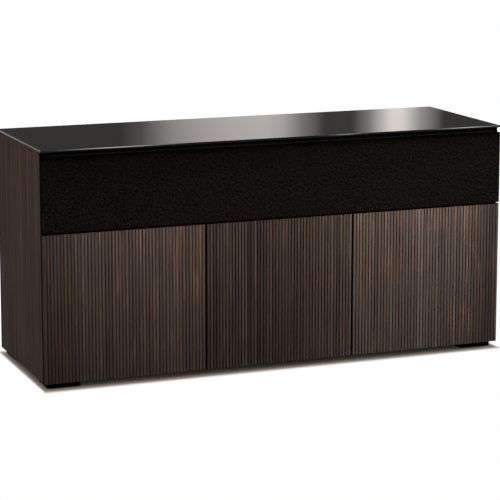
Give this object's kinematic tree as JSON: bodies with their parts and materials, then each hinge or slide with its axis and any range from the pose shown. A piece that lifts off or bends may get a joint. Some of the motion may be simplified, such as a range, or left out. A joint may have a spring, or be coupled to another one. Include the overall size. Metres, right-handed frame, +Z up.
{
  "type": "media cabinet",
  "caption": "Low wide media cabinet: black glass top, full-width cloth-covered drop-down flap, reeded hinged doors below, block feet, and equipment bays with adjustable shelves.",
  "frame": {"origin": "on the floor, under the centre of the cabinet's overall box", "axes": "+Z up, doors face -Y, +X to the right when facing the doors"},
  "size_m": [1.654, 0.556, 0.79],
  "materials": {
    "veneer": "dark brown fine-grained veneer, satin lacquer",
    "reeded_veneer": "dark brown reeded veneer, satin lacquer",
    "case_board": "black melamine-faced board",
    "back_board": "black painted board",
    "black_glass": "polished toughened glass, black painted underside",
    "clear_pad": "clear soft polymer",
    "foot_block": "black lacquered block",
    "foot_rubber": "black rubber",
    "nickel_steel": "nickel-plated pressed steel",
    "screw_steel": "zinc-plated steel",
    "black_screw": "black oxide steel",
    "cam_zinc": "die-cast zinc alloy",
    "black_plastic": "black moulded plastic",
    "frame_board": "black painted board",
    "acoustic_cloth": "black open-knit acoustic cloth"
  },
  "bodies": {
    "case": {"side_left": "veneer", "side_right": "veneer", "bottom_board": "case_board", "deck_board": "case_board", "top_board": "case_board", "divider_left": "case_board", "divider_right": "case_board", "back_panel_left": "back_board", "back_panel_middle": "back_board", "back_panel_right": "back_board", "shelf_left": "case_board", "shelf_middle": "case_board", "shelf_right": "case_board", "shelf_clips": "nickel_steel", "glass_top": "black_glass", "glass_pads": "clear_pad", "foot_front_left": "foot_block", "foot_front_right": "foot_block", "foot_back_left": "foot_block", "foot_back_right": "foot_block", "foot_pads": "foot_rubber", "foot_screws": "screw_steel", "hinge_plates": "nickel_steel", "hinge_arms": "nickel_steel", "magnet_catches": "black_plastic", "door_bumpers": "clear_pad", "cable_grommets": "black_plastic", "back_panel_screws": "black_screw", "cam_locks": "cam_zinc", "cam_bolts": "screw_steel", "divider_screws": "screw_steel"},
    "door_left_body": {"door_left": "reeded_veneer", "door_left_cups": "nickel_steel", "door_left_strike": "nickel_steel"},
    "door_middle_body": {"door_middle": "reeded_veneer", "door_middle_cups": "nickel_steel", "door_middle_strike": "nickel_steel"},
    "door_right_body": {"door_right": "reeded_veneer", "door_right_cups": "nickel_steel", "door_right_strike": "nickel_steel"},
    "flap_body": {"flap_frame": "frame_board", "flap_cloth": "acoustic_cloth", "flap_cups": "nickel_steel", "flap_strikes": "nickel_steel"}
  },
  "joints": [
    {"name": "door_left_hinge", "type": "hinge", "parent": "case", "child": "door_left_body", "pos_m": [-0.8165, -0.2685, 0.2685], "axis": [0, 0, -1], "range_deg": [0, 100]},
    {"name": "door_middle_hinge", "type": "hinge", "parent": "case", "child": "door_middle_body", "pos_m": [-0.255, -0.2685, 0.2685], "axis": [0, 0, -1], "range_deg": [0, 100]},
    {"name": "door_right_hinge", "type": "hinge", "parent": "case", "child": "door_right_body", "pos_m": [0.8165, -0.2685, 0.2685], "axis": [0, 0, 1], "range_deg": [0, 100]},
    {"name": "flap_hinge", "type": "hinge", "parent": "case", "child": "flap_body", "pos_m": [0, -0.2685, 0.528], "axis": [1, 0, 0], "range_deg": [0, 90]}
  ]
}
